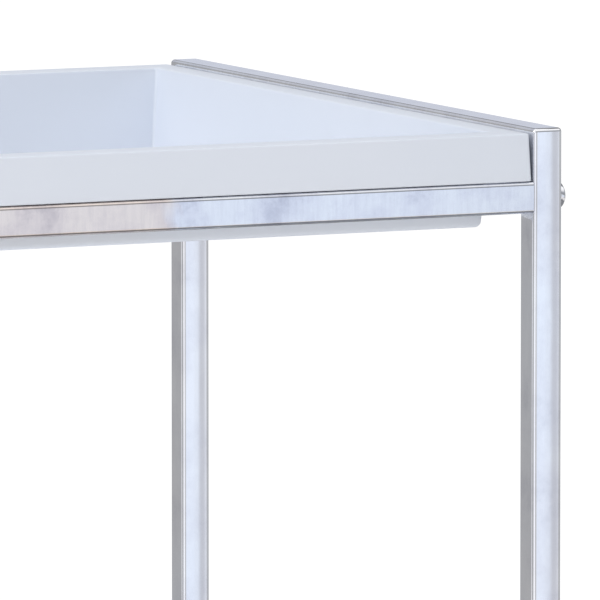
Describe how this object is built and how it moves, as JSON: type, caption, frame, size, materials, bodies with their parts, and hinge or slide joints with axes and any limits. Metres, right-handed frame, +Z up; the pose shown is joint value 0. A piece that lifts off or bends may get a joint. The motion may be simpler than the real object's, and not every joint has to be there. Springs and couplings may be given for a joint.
{
  "type": "bar cart",
  "caption": "Rolling bar cart: square chromed-tube frame, lift-out moulded tub trays on an upper and a lower tier, swivel casters with foot brakes at the front.",
  "frame": {"origin": "on the floor under the centre of the cart", "axes": "+X along the cart's length, +Y from the front (the braked casters) to the back, +Z up"},
  "size_m": [0.784, 0.533, 0.81],
  "materials": {
    "tube": "bright chromed steel with a faint cloudy mottle",
    "tray": "moulded white plastic, satin to gloss",
    "bolt": "domed bright-plated steel",
    "steel": "zinc-plated steel",
    "socket": "dark grey moulded nylon",
    "fork": "bright zinc-plated pressed steel",
    "wheel_core": "grey moulded nylon",
    "tyre": "dark grey non-marking rubber",
    "pedal": "black moulded nylon"
  },
  "bodies": {
    "frame": {"leg_front_left": "tube", "leg_front_right": "tube", "leg_back_left": "tube", "leg_back_right": "tube", "top_side_rail_left": "tube", "top_side_rail_right": "tube", "lower_side_rail_left": "tube", "lower_side_rail_right": "tube", "upper_front_rail": "tube", "upper_back_rail": "tube", "lower_front_rail": "tube", "lower_back_rail": "tube", "rail_bolts": "bolt", "rail_end_nuts": "steel", "leg_sockets": "socket", "caster_stems": "steel"},
    "upper_tray": {"upper_tray": "tray"},
    "lower_tray": {"lower_tray": "tray"},
    "caster_front_left": {"fork_front_left": "fork", "axle_front_left": "steel", "brake_pin_left": "steel"},
    "wheel_front_left": {"wheel_core_front_left": "wheel_core", "tyre_front_left": "tyre"},
    "caster_front_right": {"fork_front_right": "fork", "axle_front_right": "steel", "brake_pin_right": "steel"},
    "wheel_front_right": {"wheel_core_front_right": "wheel_core", "tyre_front_right": "tyre"},
    "caster_back_left": {"fork_back_left": "fork", "axle_back_left": "steel"},
    "wheel_back_left": {"wheel_core_back_left": "wheel_core", "tyre_back_left": "tyre"},
    "caster_back_right": {"fork_back_right": "fork", "axle_back_right": "steel"},
    "wheel_back_right": {"wheel_core_back_right": "wheel_core", "tyre_back_right": "tyre"},
    "brake_left": {"brake_pedal_left": "pedal"},
    "brake_right": {"brake_pedal_right": "pedal"}
  },
  "joints": [
    {"name": "upper_tray_lift", "type": "slide", "parent": "frame", "child": "upper_tray", "axis": [0, 0, 1], "range_m": [0, 0.15]},
    {"name": "lower_tray_lift", "type": "slide", "parent": "frame", "child": "lower_tray", "axis": [0, 0, 1], "range_m": [0, 0.15]},
    {"name": "swivel_front_left", "type": "hinge", "parent": "frame", "child": "caster_front_left", "pos_m": [-0.3705, -0.2515, 0.09], "axis": [0, 0, 1], "continuous": true},
    {"name": "spin_front_left", "type": "hinge", "parent": "caster_front_left", "child": "wheel_front_left", "pos_m": [-0.3705, -0.2255, 0.0375], "axis": [1, 0, 0], "continuous": true},
    {"name": "swivel_front_right", "type": "hinge", "parent": "frame", "child": "caster_front_right", "pos_m": [0.3705, -0.2515, 0.09], "axis": [0, 0, 1], "continuous": true},
    {"name": "spin_front_right", "type": "hinge", "parent": "caster_front_right", "child": "wheel_front_right", "pos_m": [0.3705, -0.2255, 0.0375], "axis": [1, 0, 0], "continuous": true},
    {"name": "swivel_back_left", "type": "hinge", "parent": "frame", "child": "caster_back_left", "pos_m": [-0.3705, 0.2515, 0.09], "axis": [0, 0, 1], "continuous": true},
    {"name": "spin_back_left", "type": "hinge", "parent": "caster_back_left", "child": "wheel_back_left", "pos_m": [-0.3705, 0.2255, 0.0375], "axis": [1, 0, 0], "continuous": true},
    {"name": "swivel_back_right", "type": "hinge", "parent": "frame", "child": "caster_back_right", "pos_m": [0.3705, 0.2515, 0.09], "axis": [0, 0, 1], "continuous": true},
    {"name": "spin_back_right", "type": "hinge", "parent": "caster_back_right", "child": "wheel_back_right", "pos_m": [0.3705, 0.2255, 0.0375], "axis": [1, 0, 0], "continuous": true},
    {"name": "brake_left", "type": "hinge", "parent": "caster_front_left", "child": "brake_left", "pos_m": [-0.3705, -0.2095, 0.083], "axis": [-1, 0, 0], "range_deg": [0, 16]},
    {"name": "brake_right", "type": "hinge", "parent": "caster_front_right", "child": "brake_right", "pos_m": [0.3705, -0.2095, 0.083], "axis": [-1, 0, 0], "range_deg": [0, 16]}
  ]
}
